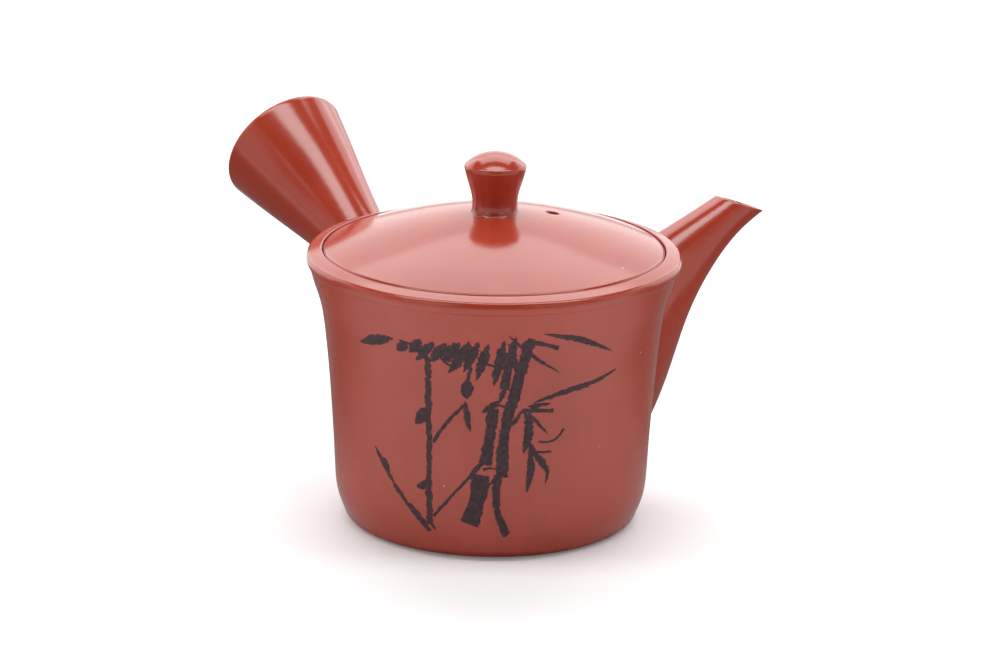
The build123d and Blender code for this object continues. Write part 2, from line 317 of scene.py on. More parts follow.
def startMaterial(name, look):
    material = bpy.data.materials.new(name)
    material.use_nodes = True
    tree = material.node_tree
    shader = tree.nodes["Principled BSDF"]
    shader.inputs["IOR"].default_value = look["ior"]
    return material, tree, shader


def driftingTone(tree, drift, look, span):
    tone = add(tree, "ShaderNodeValToRGB", {"Fac": drift})
    low, high = tone[0].node.color_ramp.elements
    low.position, high.position = span
    low.color = (*look["deep"], 1)
    high.color = (*look["bright"], 1)
    return tone["Color"]


def grainyFinish(tree, shader, grain, look):
    # roughness follows the grain, and so does the fine bump that is returned
    low, high = look["rough"]
    rough = add(tree, "ShaderNodeMapRange", {
        "Value": grain, "From Min": noiseSpan[0], "From Max": noiseSpan[1], "To Min": low, "To Max": high,
    })["Result"]
    tree.links.new(rough, shader.inputs["Roughness"])
    return add(tree, "ShaderNodeBump", {
        "Strength": look["grain"], "Distance": grainDepth, "Height": grain})[0]


def clayMaterial(name, look):
    material, tree, shader = startMaterial(name, look)
    grain = add(tree, "ShaderNodeGroup", node_tree=clayGrain)
    place = add(tree, "ShaderNodeTexCoord")["Object"]
    lines = add(tree, "ShaderNodeGroup", {
        "Ring Scale": look["lineScale"], "Place": place}, node_tree=toolLines)
    paint = add(tree, "ShaderNodeMix", data_type="RGBA")
    mixer = paint["Result"].node
    tree.links.new(grain["Speck"], mixer.inputs["Factor"])
    tree.links.new(driftingTone(tree, grain["Drift"], look, noiseSpan), mixer.inputs["A"])
    mixer.inputs["B"].default_value = grog["colour"]
    tree.links.new(mixer.outputs["Result"], shader.inputs["Base Color"])
    fine = grainyFinish(tree, shader, grain["Grain"], look)
    tooled = add(tree, "ShaderNodeBump", {
        "Strength": look["lines"], "Distance": rib["depth"], "Height": lines["Height"], "Normal": fine})[0]
    tree.links.new(tooled, shader.inputs["Normal"])
    return material


def fillMaterial(name, look):
    # dark pigment fired into the carving: matt and grainy
    material, tree, shader = startMaterial(name, look)
    grain = add(tree, "ShaderNodeGroup", {"Drift Scale": look["driftScale"]}, node_tree=clayGrain)
    tree.links.new(driftingTone(tree, grain["Drift"], look, look["toneSpan"]), shader.inputs["Base Color"])
    tree.links.new(grainyFinish(tree, shader, grain["Grain"], look), shader.inputs["Normal"])
    return material


burnishedClay = clayMaterial("burnishedClay", clayLooks["burnished"])
rawClay = clayMaterial("rawClay", clayLooks["raw"])
slipClay = clayMaterial("slipClay", clayLooks["slip"])
darkFill = fillMaterial("darkFill", darkLook)
print("materials ready")


# Thrown body

pot = {  # radius and height pairs; bulges are those of the rounded stretches
    "baseRows": (0, 8, 16, 24, 31), "base": 36.6,
    "wall": [(39.6, 2.6), (41.2, 7.0), (42.0, 14.0), (43.1, 32.0), (44.9, 52.0), (46.8, 62.0),
             (48.1, 65.8), (49.1, 69.6)],
    "rim": (49.95, 71.95), "shoulder": (48.7, 73.36), "top": [(47.9, 73.64), (47.0, 73.89)],
    "crown": (46.2, 74.1), "seat": 45.8, "seatRows": (73.75, 73.0, 72.0, 71.7), "seatCorner": 45.6,
    "ledge": 71.5, "ledgeRows": (45.0, 43.0), "mouth": 41.4, "mouthRound": 0.4,
    "inside": [(39.4, 12.0), (40.5, 32.0), (42.3, 52.0), (43.5, 61.5), (42.9, 66.3), (41.4, 70.0)],
    "floor": 3.2, "floorRadius": 30.8, "floorRows": (26, 20, 14, 8, 3, 0),
    "bulges": {"foot": 0.62, "lip": 0.35, "shoulder": 0.34, "edge": 0.15, "seat": -0.06, "mouth": 0.1,
               "corner": 2.3},
    "wobble": 0.03, "fingerRidge": 0.12, "fingerPitch": 5.5,
    "port": 11.0, "portHeight": 38.0, "portAt": 42.0, "portHalf": 8, "portSegments": 64,
    "segments": 288, "seed": 3.0,
}
wallLine = through(pot["wall"], 120)


def wallRadius(z):
    return float(np.interp(z, [q[1] for q in wallLine], [q[0] for q in wallLine]))


def fingerRidged(line):
    # the soft ridges that fingers leave inside, fading towards both ends
    out = []
    for k, (r, z) in enumerate(line):
        fade = math.sin(math.pi * k / (len(line) - 1))
        wave = 0.5 + 0.5 * math.sin(2 * math.pi * z / pot["fingerPitch"])
        out.append((r - pot["fingerRidge"] * fade * wave, z))
    return out


def rimAndSeat():
    s = pot
    bulges = s["bulges"]
    seatTop, seatHigh, seatLow, seatFoot = s["seatRows"]
    lip = arc(s["wall"][-1], s["rim"], bulges["lip"], 12)
    shoulder = arc(s["rim"], s["shoulder"], bulges["shoulder"], 12)
    edge = arc(s["crown"], (s["seat"], seatTop), bulges["edge"], 5)
    seat = [(s["seat"], seatHigh), (s["seat"], seatLow)]
    seat += arc((s["seat"], seatFoot), (s["seatCorner"], s["ledge"]), bulges["seat"], 3)
    ledge = [(r, s["ledge"]) for r in s["ledgeRows"]]
    mouthEdge = (s["mouth"], s["ledge"] - s["mouthRound"])
    ledge += arc((s["mouth"] + s["mouthRound"], s["ledge"]), mouthEdge, bulges["mouth"], 4)
    return joinRuns(lip, shoulder, s["top"], edge, seat, ledge)


def throwBody():
    s = pot
    base = [(r, 0.0) for r in s["baseRows"]]
    foot = arc((s["base"], 0.0), s["wall"][0], s["bulges"]["foot"], 10)
    inside = fingerRidged(list(reversed(through(s["inside"], 90))))
    corner = arc(s["inside"][0], (s["floorRadius"], s["floor"]), s["bulges"]["corner"], 14)
    bottom = [(r, s["floor"]) for r in s["floorRows"]]
    line = joinRuns(base, foot, wallLine, rimAndSeat(), inside, corner, bottom)
    body = turned("thrownBody", line, burnishedClay, s["segments"], s["wobble"], s["seed"])
    radius, half = s["port"], s["portHalf"]
    outline = [(0, -half), (radius, -half), (radius, half), (0, half)]
    cutter = turned("portCutter", outline, burnishedClay, s["portSegments"])
    place = Matrix.Translation(Vector((s["portAt"], 0, s["portHeight"])) * mm)
    cutter.data.transform(place @ Matrix.Rotation(math.pi / 2, 4, "Y"))
    return cutWith(body, cutter)


ride(throwBody(), "pot", "pot_body")
print("body thrown")


# Lid, knob and the slip between them

lid = {
    "dome": [(0, 84.45), (14.0, 83.2), (30.0, 79.4), (39.0, 76.5), (45.22, 74.02)],
    "rimSlope": (0.93, -0.38), "radius": 45.42, "edge": 73.78, "sideRows": (73.0, 71.9), "sideChamfer": 0.15,
    "seat": 71.6, "seatRows": (44.0, 42.0), "flange": 40.9, "flangeRound": 0.3, "flangeRow": 69.0,
    "flangeInner": 38.5, "innerRow": 70.0, "foot": 66.0, "round": 0.6,
    "under": [(38.5, 73.6), (30.0, 76.4), (14.0, 80.4), (0, 81.65)], "underSlope": (-0.93, 0.37),
    "bulges": {"edge": 0.06, "flange": -0.08, "foot": 0.17}, "segments": 288, "wobble": 0.02, "seed": 7.0,
}
vent = {"bore": 1.62, "reach": 16.2, "turn": -18.5, "bottom": 79.0, "throat": 82.45,
        "flare": [(0.25, 82.85), (1.0, 83.6)], "top": 84.6, "segments": 48}


def lidUnderside():
    s = lid
    bulges = s["bulges"]
    level = [(r, s["seat"]) for r in s["seatRows"]]
    flangeTop = (s["flange"] + s["flangeRound"], s["seat"])
    outer = arc(flangeTop, (s["flange"], s["seat"] - s["flangeRound"]), bulges["flange"], 4)
    low, high = s["foot"], s["foot"] + s["round"]
    foot = arc((s["flange"], high), (s["flange"] - s["round"], low), bulges["foot"], 5)
    foot += arc((s["flangeInner"] + s["round"], low), (s["flangeInner"], high), bulges["foot"], 5)
    hollow = through(s["under"], 40, start=s["underSlope"], end=(-1, 0))
    outer.append((s["flange"], s["flangeRow"]))
    foot.append((s["flangeInner"], s["innerRow"]))
    return joinRuns(level, outer, foot, hollow)


def ventCutter():
    s = vent
    flare = [(0, s["bottom"]), (s["bore"], s["bottom"]), (s["bore"], s["throat"])]
    flare += [(s["bore"] + wider, z) for wider, z in s["flare"]]
    cutter = turned("ventCutter", flare + [(0, s["top"])], burnishedClay, s["segments"])
    way = math.radians(s["turn"])
    place = Vector((math.cos(way), math.sin(way), 0)) * s["reach"]
    cutter.data.transform(Matrix.Translation(place * mm))
    return cutter


def turnLid():
    s = lid
    dome = through(s["dome"], 60, start=(1, 0), end=s["rimSlope"])
    edge = arc(s["dome"][-1], (s["radius"], s["edge"]), s["bulges"]["edge"], 6)
    side = [(s["radius"], z) for z in s["sideRows"]] + [(s["radius"] - s["sideChamfer"], s["seat"])]
    line = joinRuns(dome, edge, side, lidUnderside())
    piece = turned("turnedLid", line, burnishedClay, s["segments"], s["wobble"], s["seed"])
    return cutWith(piece, ventCutter())


knob = {
    "bottom": 83.9, "bottomRow": 4.0,
    "flank": [(6.25, 83.9), (6.05, 85.5), (6.63, 90.3), (7.83, 94.3), (8.3, 96.2)], "edge": 96.8,
    "edgeBulge": 0.22, "capRadius": 7.7, "radius": 8.38, "top": 100.5, "segments": 160,
    "wobble": 0.03, "seed": 11.0,
}


def turnKnob():
    # the cap is part of a ball through its top and its widest ring
    s = knob
    rise = s["top"] - s["edge"]
    ball = (s["radius"]**2 + rise**2) / (2 * rise)
    cap = [(r, s["top"] - ball + math.sqrt(ball**2 - r**2)) for r in np.linspace(s["capRadius"], 0, 24)]
    edge = arc(s["flank"][-1], cap[0], s["edgeBulge"], 7)
    bottom = [(0, s["bottom"]), (s["bottomRow"], s["bottom"])]
    line = joinRuns(bottom, through(s["flank"], 40), edge, cap)
    return turned("turnedKnob", line, burnishedClay, s["segments"], s["wobble"], s["seed"])


knobRing = {"foot": (6.95, 84.05), "head": (6.1, 85.2), "hollow": -0.24, "bottomRow": (6.9, 83.8),
            "inner": 5.6}


def knobSlip():
    s = knobRing
    low, high = s["bottomRow"][1], s["head"][1]
    hollow = arc(s["foot"], s["head"], s["hollow"], 10)
    line = joinRuns([(s["inner"], low), s["bottomRow"]], hollow, [(s["inner"], high), (s["inner"], low)])
    return turned("knobSlip", line, slipClay, knob["segments"])


ride(turnLid(), "lid_set", "lid")
ride(turnKnob(), "lid_set", "knob")
ride(knobSlip(), "lid_set", "knob_slip")
print("lid and knob turned")


# Handle and spout

# a member starts sink inside the wall; a slip's edge lies under the wall and its back inside the joint
joining = {"sink": 0.4, "under": 0.04, "slipBack": 0.35, "slipSteps": 8}


def meetsWall(pointAt, span, sink=0.0):
    # where the line of a member's skin comes out of the wall, within the span of its parameter
    low, high = span
    for _ in range(40):
        middle = (low + high) / 2
        p = pointAt(middle)
        if math.hypot(p.x, p.y) > wallRadius(p.z) - sink:
            high = middle
        else:
            low = middle
    return (low + high) / 2


def turnsOf(count):
    return [2 * math.pi * k / count for k in range(count)]


def tube(name, rings, material):
    # closed skin from rings of equal count, the last joined to the first
    count = len(rings[0])
    verts = [v for ring in rings for v in ring]
    faces = []
    for i in range(len(rings)):
        j = (i + 1) % len(rings)
        for k in range(count):
            n = (k + 1) % count
            faces.append((i * count + k, i * count + n, j * count + n, j * count + k))
    return outward(newPiece(name, verts, faces, material))


def pushedAlongWall(p, centre, size):
    # a step of that size away from the centre, kept a hair under the outer wall
    radial = Vector((p.x, p.y, 0)).normalized()
    away = p - centre
    away -= radial * away.dot(radial)
    q = p + away.normalized() * size
    flat = Vector((q.x, q.y, 0)).normalized() * (wallRadius(q.z) - joining["under"])
    return Vector((flat.x, flat.y, q.z))


def slipRing(name, corner, wallSide, memberSide):
    # hollow fillet from the wall to the member, rounding the line where they meet
    rings = []
    steps = joining["slipSteps"]
    for u in [k / steps for k in range(steps + 1)]:
        weights = ((1 - u)**2, 2 * u * (1 - u), u * u)
        rings.append([a * weights[0] + c * weights[1] + b * weights[2]
                      for a, c, b in zip(wallSide, corner, memberSide)])
    rings.append([c + (c - (a + b) / 2) * joining["slipBack"]
                  for a, b, c in zip(wallSide, memberSide, corner)])
    return tube(name, rings, slipClay)


handle = {  # outside and bore are radius and distance along the axis
    "tilt": 26.2, "axisHeight": 27.8, "end": 116.5,
    "outside": [(10.4, 40.0), (8.5, 50.0), (8.1, 58.0), (10.3, 79.0), (12.54, 90.0), (15.55, 103.3),
                (18.1, 115.3)],
    "bore": [(7.0, 40.0), (5.8, 50.0), (5.5, 58.0), (7.7, 79.0), (9.9, 90.0), (12.95, 103.3),
             (15.4, 114.6)],
    "lip": (17.3, 16.7), "lipBulges": (0.28, 0.5), "rootSpan": (41, 70), "rootCentre": 50,
    "slip": 3.2, "count": 128, "steps": 90, "boreSteps": 50,
}


def handlePoint(s, r, w):
    # s along the axis, r from it, w round it: 0 is level, a quarter turn is up
    tilt = math.radians(handle["tilt"])
    y = s * math.cos(tilt) - r * math.sin(w) * math.sin(tilt)
    z = handle["axisHeight"] + s * math.sin(tilt) + r * math.sin(w) * math.cos(tilt)
    return Vector((r * math.cos(w), y, z))


def handleSkin(key):
    # the point of the outside or of the bore at a distance along the axis and a turn round it
    line = np.array(through(handle[key], 200))

    def pointAt(s, w):
        return handlePoint(s, float(np.interp(s, line[:, 1], line[:, 0])), w)

    return pointAt


def handleLip():
    s = handle
    outer, inner = s["lip"]
    outside = arc(s["outside"][-1], (outer, s["end"]), s["lipBulges"][0], 6)
    return joinRuns(outside, arc((inner, s["end"]), s["bore"][-1], s["lipBulges"][1], 8))


def makeHandle():
    s = handle
    turns = turnsOf(s["count"])
    skin, hollow = handleSkin("outside"), handleSkin("bore")
    root = [meetsWall(lambda a, w=w: skin(a, w), s["rootSpan"], joining["sink"]) for w in turns]
    boreRoot = [meetsWall(lambda a, w=w: hollow(a, w), s["rootSpan"], joining["sink"]) for w in turns]
    seam = [meetsWall(lambda a, w=w: skin(a, w), s["rootSpan"]) for w in turns]
    endAt, boreEnd = s["outside"][-1][1], s["bore"][-1][1]
    rings = []
    for u in [i / s["steps"] for i in range(s["steps"] + 1)]:
        rings.append([skin(a + (endAt - a) * u, w) for a, w in zip(root, turns)])
    for r, along in handleLip()[1:-1]:
        rings.append([handlePoint(along, r, w) for w in turns])
    for u in [i / s["boreSteps"] for i in range(s["boreSteps"] + 1)]:
        rings.append([hollow(boreEnd + (a - boreEnd) * u, w) for a, w in zip(boreRoot, turns)])
    corner = [skin(a, w) for a, w in zip(seam, turns)]
    member = [skin(a + s["slip"], w) for a, w in zip(seam, turns)]
    centre = handlePoint(s["rootCentre"], 0, 0)
    wallSide = [pushedAlongWall(c, centre, s["slip"]) for c in corner]
    return tube("flaredHandle", rings, burnishedClay), slipRing("handleRootSlip", corner, wallSide, member)


spout = {  # stations are top x and z, under x and z, half width, wall
    "stations": [
        (36.0, 64.0, 35.0, 4.0, 18.0, 2.3), (43.5, 65.6, 42.3, 11.0, 15.8, 2.3),
        (51.7, 68.4, 51.1, 23.3, 12.2, 2.2), (61.8, 72.3, 59.3, 41.4, 9.0, 2.0),
        (73.8, 77.1, 71.5, 59.2, 6.6, 1.7), (80.5, 79.9, 80.3, 66.9, 5.6, 1.5),
        (87.6, 82.8, 91.6, 73.1, 5.2, 1.3)],
    "mouth": (82.2, 74.9), "slant": 20.8, "rootSpan": (0.0, 0.45), "mouthSpan": (0.4, 1.0), "short": 0.004,
    "lip": (0.0, 0.12, 0.35, 0.7, 1.0), "lipPinch": 0.07, "slip": 2.8, "slipStep": 0.002,
    "count": 112, "steps": 90, "boreSteps": 60,
}


def spoutField():
    # centre x and z, half of the way from under to top in x and z, half width and wall, along the spout
    rows = [((tx + ux) / 2, (tz + uz) / 2, (tx - ux) / 2, (tz - uz) / 2, half, wall)
            for tx, tz, ux, uz, half, wall in spout["stations"]]
    return np.array(through(rows, 240))


def spoutSkin(inset):
    # the point of the outside, or of the bore where inset is 1, at t along the spout and w round it
    field = spoutField()
    params = np.linspace(0, 1, len(field))

    def pointAt(t, w):
        cx, cz, ax, az, half, wall = (float(np.interp(t, params, field[:, k])) for k in range(6))
        length = math.hypot(ax, az)
        rise = (length - wall * inset) * math.sin(w)
        across = (half - wall * inset) * math.cos(w)
        return Vector((cx + ax / length * rise, across, cz + az / length * rise))

    return pointAt


def meetsMouth(pointAt, w):
    # where the line of the skin reaches the slanted plane of the mouth
    slant = math.radians(spout["slant"])
    mouth = Vector((spout["mouth"][0], 0, spout["mouth"][1]))
    normal = Vector((math.sin(slant), 0, math.cos(slant)))
    low, high = spout["mouthSpan"]
    for _ in range(40):
        middle = (low + high) / 2
        if (pointAt(middle, w) - mouth).dot(normal) > 0:
            high = middle
        else:
            low = middle
    return (low + high) / 2


def stepOff(pointAt, t, w):
    # the first point of the skin that lies a slip's length from where t starts
    start = pointAt(t, w)
    while (pointAt(t, w) - start).length < spout["slip"]:
        t += spout["slipStep"]
    return pointAt(t, w)


def spoutLip(outer, inner):
    pinch = spout["lipPinch"]
    return [[(a * (1 - u) + b * u) * (1 - 2 * pinch) + pinch * (a + b) for a, b in zip(outer, inner)]
            for u in spout["lip"]]


def makeSpout():
    s = spout
    turns = turnsOf(s["count"])
    skin, hollow = spoutSkin(0.0), spoutSkin(1.0)
    root = [meetsWall(lambda t, w=w: skin(t, w), s["rootSpan"], joining["sink"]) for w in turns]
    boreRoot = [meetsWall(lambda t, w=w: hollow(t, w), s["rootSpan"], joining["sink"]) for w in turns]
    seam = [meetsWall(lambda t, w=w: skin(t, w), s["rootSpan"]) for w in turns]
    cut = [meetsMouth(skin, w) for w in turns]
    boreCut = [meetsMouth(hollow, w) for w in turns]
    rings = []
    for u in [i / s["steps"] for i in range(s["steps"] + 1)]:
        rings.append([skin(a + (b - s["short"] - a) * u, w) for a, b, w in zip(root, cut, turns)])
    rings += spoutLip([skin(t, w) for t, w in zip(cut, turns)],
                      [hollow(t, w) for t, w in zip(boreCut, turns)])
    for u in [i / s["boreSteps"] for i in range(s["boreSteps"] + 1)]:
        rings.append([hollow(b - s["short"] + (a - b + s["short"]) * u, w)
                      for a, b, w in zip(boreRoot, boreCut, turns)])
    corner = [skin(t, w) for t, w in zip(seam, turns)]
    member = [stepOff(skin, t, w) for t, w in zip(seam, turns)]
    centre = sum(corner, Vector()) / len(corner)
    wallSide = [pushedAlongWall(c, centre, s["slip"]) for c in corner]
    return tube("curvedSpout", rings, burnishedClay), slipRing("spoutRootSlip", corner, wallSide, member)


flaredHandle, handleRootSlip = makeHandle()
curvedSpout, spoutRootSlip = makeSpout()
ride(flaredHandle, "pot", "handle")
ride(curvedSpout, "pot", "spout")
ride(handleRootSlip, "pot", "handle_slip")
ride(spoutRootSlip, "pot", "spout_slip")
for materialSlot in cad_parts["strainer"].material_slots:
    materialSlot.material = rawClay
print("handle and spout joined, strainer kept")


# Carved bamboo, filled with dark pigment

bamboo = {
    "facing": -125.0, "radius": 45.0, "lift": 0.075, "perStroke": 0.0008, "depth": 0.2, "step": 0.25,
    "tooth": 1.7, "toothPitch": 0.7, "toothLimit": 2.4, "seed": 4.0, "swell": 0.45, "tip": 0.05,
    "blunt": 0.8, "sway": 0.10, "swayTurns": 9,
    "strokes": [  # kind, width, way in mm to the right along the wall and above the base
        ("leaf", 3.0, [(-27.5, 60.0), (-34.0, 58.3), (-39.5, 56.5)]),
        ("leaf", 2.8, [(-23.0, 59.5), (-26.5, 57.0)]), ("leaf", 3.0, [(-19.0, 61.0), (-22.5, 57.0)]),
        ("leaf", 2.8, [(-15.5, 61.0), (-20.5, 55.0)]), ("leaf", 2.8, [(-12.0, 61.0), (-16.5, 55.0)]),
        ("leaf", 3.4, [(-8.5, 61.5), (-13.0, 55.5)]),
        ("leaf", 2.8, [(-6.0, 62.0), (-8.5, 57.0), (-11.5, 52.5)]),
        ("leaf", 2.6, [(-3.5, 62.0), (-7.5, 53.0)]), ("leaf", 2.6, [(-1.0, 61.5), (-4.0, 51.0)]),
        ("leaf", 2.6, [(3.0, 62.5), (0.5, 49.5)]),
        ("stem", 0.5, [(-25.5, 60.0), (-23.0, 59.5), (-21.0, 58.5), (-17.5, 55.5)]),
        ("stem", 0.5, [(-15.5, 59.5), (-14.0, 57.0), (-11.0, 54.5)]),
        ("stem", 0.5, [(-9.0, 60.0), (-7.5, 56.5), (-6.5, 55.5)]),
        ("stem", 0.5, [(-6.0, 61.0), (-4.0, 57.5), (-2.0, 56.0), (0.5, 55.0)]),
        ("culm", 1.5, [(-17.5, 56.5), (-17.0, 51.5), (-17.0, 46.0), (-16.5, 33.0), (-16.5, 24.0),
                       (-16.0, 9.5)]),
        ("leaf", 3.4, [(-16.5, 42.0), (-20.5, 37.0)]), ("leaf", 2.4, [(-16.0, 21.0), (-20.0, 19.5)]),
        ("culm", 0.9, [(-15.5, 32.5), (-12.5, 37.5), (-7.0, 44.0)]),
        ("culm", 0.9, [(-5.5, 54.5), (-6.5, 50.0)]), ("leaf", 3.4, [(-6.5, 51.0), (-6.5, 45.5)]),
        ("leaf", 1.6, [(-7.0, 45.0), (-6.5, 41.5), (-5.5, 36.5)]),
        ("leaf", 1.2, [(-33.5, 28.0), (-26.5, 18.5)]), ("leaf", 1.4, [(-30.5, 25.5), (-28.5, 22.5)]),
        ("culm", 1.0, [(-27.0, 19.0), (-22.5, 14.0), (-16.0, 7.5)]),
        ("leaf", 1.8, [(-22.0, 14.5), (-18.5, 10.5), (-16.0, 7.5)]),
        ("leaf", 0.8, [(-16.0, 10.5), (-14.5, 8.0)]),
        ("stem", 0.7, [(-15.0, 12.0), (-9.5, 19.0), (-4.0, 25.5)]),
        ("leaf", 1.2, [(-5.5, 24.5), (-1.5, 28.5)]), ("stem", 0.5, [(-2.0, 26.0), (0.0, 26.5), (2.5, 25.5)]),
        ("culm", 2.8, [(0.5, 43.0), (0.0, 39.0), (-0.5, 34.0), (-1.5, 27.5)]),
        ("culm", 4.4, [(-2.5, 24.5), (-3.5, 17.0), (-5.5, 10.5)]),
        ("culm", 2.3, [(4.2, 59.0), (3.9, 54.0), (3.1, 48.5)]), ("leaf", 1.8, [(6.0, 63.5), (5.0, 56.5)]),
        ("leaf", 1.4, [(3.5, 49.0), (2.0, 45.0)]), ("leaf", 1.8, [(4.0, 61.5), (8.0, 49.5)]),
        ("culm", 2.8, [(9.5, 62.0), (8.5, 57.5), (7.5, 53.0)]),
        ("culm", 2.8, [(7.0, 53.0), (6.0, 47.5), (4.5, 42.0), (3.5, 37.0), (3.0, 31.5), (3.0, 24.0)]),
        ("culm", 1.9, [(2.0, 24.5), (1.5, 17.5), (2.5, 12.0), (4.5, 7.5)]),
        ("leaf", 1.2, [(3.5, 26.5), (-0.5, 21.5)]), ("leaf", 1.8, [(2.5, 45.5), (-2.5, 42.0)]),
        ("stem", 0.5, [(0.0, 44.0), (2.0, 44.0), (4.0, 43.5)]),
        ("leaf", 0.9, [(4.0, 64.0), (9.0, 59.0), (18.0, 52.5)]), ("culm", 1.2, [(9.0, 62.5), (17.5, 59.5)]),
        ("leaf", 1.6, [(13.5, 64.0), (21.5, 62.0), (34.5, 56.0)]),
        ("leaf", 1.4, [(11.0, 44.5), (20.0, 47.0), (29.0, 48.5), (36.0, 50.5)]),
        ("leaf", 1.2, [(9.5, 43.5), (15.5, 44.0)]), ("culm", 1.0, [(8.0, 42.5), (16.5, 42.0)]),
        ("leaf", 1.2, [(8.0, 42.5), (5.5, 39.0), (2.0, 37.0)]),
        ("leaf", 2.4, [(8.5, 42.5), (9.8, 38.5), (9.5, 34.5), (8.5, 30.5)]),
        ("leaf", 0.8, [(9.5, 42.0), (15.0, 35.5)]), ("stem", 0.5, [(12.5, 33.5), (16.5, 33.5), (19.5, 36.5)]),
        ("stem", 0.5, [(10.5, 31.0), (13.5, 30.5), (16.0, 30.5)]),
        ("leaf", 2.0, [(10.0, 32.0), (10.5, 26.0), (9.5, 19.5)]),
        ("leaf", 1.6, [(9.5, 34.5), (12.5, 29.0), (15.0, 25.0), (14.5, 21.5)]),
    ],
}


def halfWidthAlong(kind, width, u):
    # leaves taper to both ends and are widest before the middle; culms and stems keep their width
    if kind != "leaf":
        return width / 2 * (1 + bamboo["sway"] * math.sin(bamboo["swayTurns"] * u))
    swell, tip = bamboo["swell"], bamboo["tip"]
    bent = 0.5 * u / swell if u < swell else 1 - 0.5 * (1 - u) / (1 - swell)
    return tip + (width / 2 - tip) * math.sin(math.pi * bent)**bamboo["blunt"]


def strokeTree():
    # grows a ribbon with torn edges along each stroke, as wide as the stroke's radius
    tree, given, result = newTree("cutStrokes", "GeometryNodeTree", {
        "Strokes": ("Geometry", None), "Step": ("Float", 0.001), "Tooth": ("Float", 0.0),
        "Tooth Scale": ("Float", 1.0), "Seed": ("Float", 1.0), "Fill": ("Material", None),
    }, {"Geometry": "Geometry"})
    finer = add(tree, "GeometryNodeResampleCurve", mode="LENGTH")
    tree.links.new(given["Strokes"], finer[0].node.inputs["Curve"])
    tree.links.new(given["Step"], finer[0].node.inputs["Length"])
    flat = add(tree, "GeometryNodeSetCurveNormal", {"Curve": finer[0]}, mode="Z_UP")[0]
    kept = add(tree, "GeometryNodeStoreNamedAttribute", {
        "Geometry": flat, "Name": "halfWidth", "Value": add(tree, "GeometryNodeInputRadius")[0]})[0]
    section = add(tree, "GeometryNodeCurvePrimitiveQuadrilateral", {"Width": 2.0, "Height": 0.2})[0]
    ribbon = add(tree, "GeometryNodeCurveToMesh", {
        "Curve": kept, "Profile Curve": section, "Scale": add(tree, "GeometryNodeInputRadius")[0],
        "Fill Caps": True})[0]
    half = add(tree, "GeometryNodeInputNamedAttribute", {"Name": "halfWidth"})[0]
    noise = add(tree, "ShaderNodeTexNoise", {
        "Vector": add(tree, "GeometryNodeInputPosition")[0], "W": given["Seed"],
        "Scale": given["Tooth Scale"], "Detail": 1.0}, noise_dimensions="4D")["Color"]
    red, green, _ = add(tree, "ShaderNodeSeparateXYZ", {"Vector": noise})
    size = sums(tree, "MINIMUM", given["Tooth"], sums(tree, "MULTIPLY", half, bamboo["toothLimit"]))
    torn = add(tree, "ShaderNodeCombineXYZ", {
        "X": sums(tree, "MULTIPLY", sums(tree, "SUBTRACT", red, 0.5), size),
        "Y": sums(tree, "MULTIPLY", sums(tree, "SUBTRACT", green, 0.5), size)})[0]
    ragged = add(tree, "GeometryNodeSetPosition", {"Geometry": ribbon, "Offset": torn})[0]
    finishTree(tree, ragged, given["Fill"], result)
    return tree


def onDrawnWall(x, height, lift):
    # from the flat drawing to the pot's wall, a lift outside it
    r = wallRadius(height)
    turn = math.radians(bamboo["facing"]) + math.asin(bamboo["radius"] * math.sin(x / bamboo["radius"]) / r)
    return Vector(((r + lift) * math.cos(turn), (r + lift) * math.sin(turn), height))


def carveBamboo():
    # the flat drawing lies in X and Y, with each stroke's order as its height, and is then wrapped on
    drawing = bpy.data.curves.new("bambooFill", "CURVE")
    drawing.dimensions = "3D"
    for order, (kind, width, way) in enumerate(bamboo["strokes"]):
        route = through(way, 12)
        spline = drawing.splines.new("POLY")
        spline.points.add(len(route) - 1)
        for k, (point, (x, y)) in enumerate(zip(spline.points, route)):
            point.co = (x * mm, y * mm, order * mm, 1)
            point.radius = halfWidthAlong(kind, width, k / (len(route) - 1)) * mm
    piece = runTree(linked("bambooFill", drawing), strokeTree(), {
        "Step": bamboo["step"] * mm, "Tooth": bamboo["tooth"] * mm, "Seed": bamboo["seed"],
        "Tooth Scale": 1 / (bamboo["toothPitch"] * mm), "Fill": darkFill})
    for vertex in piece.data.vertices:
        x, height, layer = vertex.co / mm
        order = round(layer)
        lift = bamboo["lift"] + bamboo["perStroke"] * order if layer > order else -bamboo["depth"]
        vertex.co = onDrawnWall(x, height, lift) * mm
    piece = outward(piece)
    for face in piece.data.polygons:
        face.use_smooth = False
    return piece


ride(carveBamboo(), "pot", "carving_fill")
print("bamboo carved and filled")


# Floor, camera and lights

studio = {  # metres and degrees; the camera keeps an aim on the axis, off by pan, drop and roll
    "azimuth": -35.0, "tilt": 17.32, "distance": 1.3, "aimHeight": 0.036, "pan": -0.088, "drop": 0.606,
    "roll": 0.91, "focal": 174.42, "sensor": 36.0, "clip": 10, "boxDistance": 1.2, "ambient": 0.05,
}
paperLook = {"half": 3000, "tone": 0.93, "lift": 0.10, "rough": 0.6, "gloss": 0.2,
             "dimBehind": 0.12, "dimHalf": 0.05, "dimEdge": 0.20, "dimTone": 0.10}


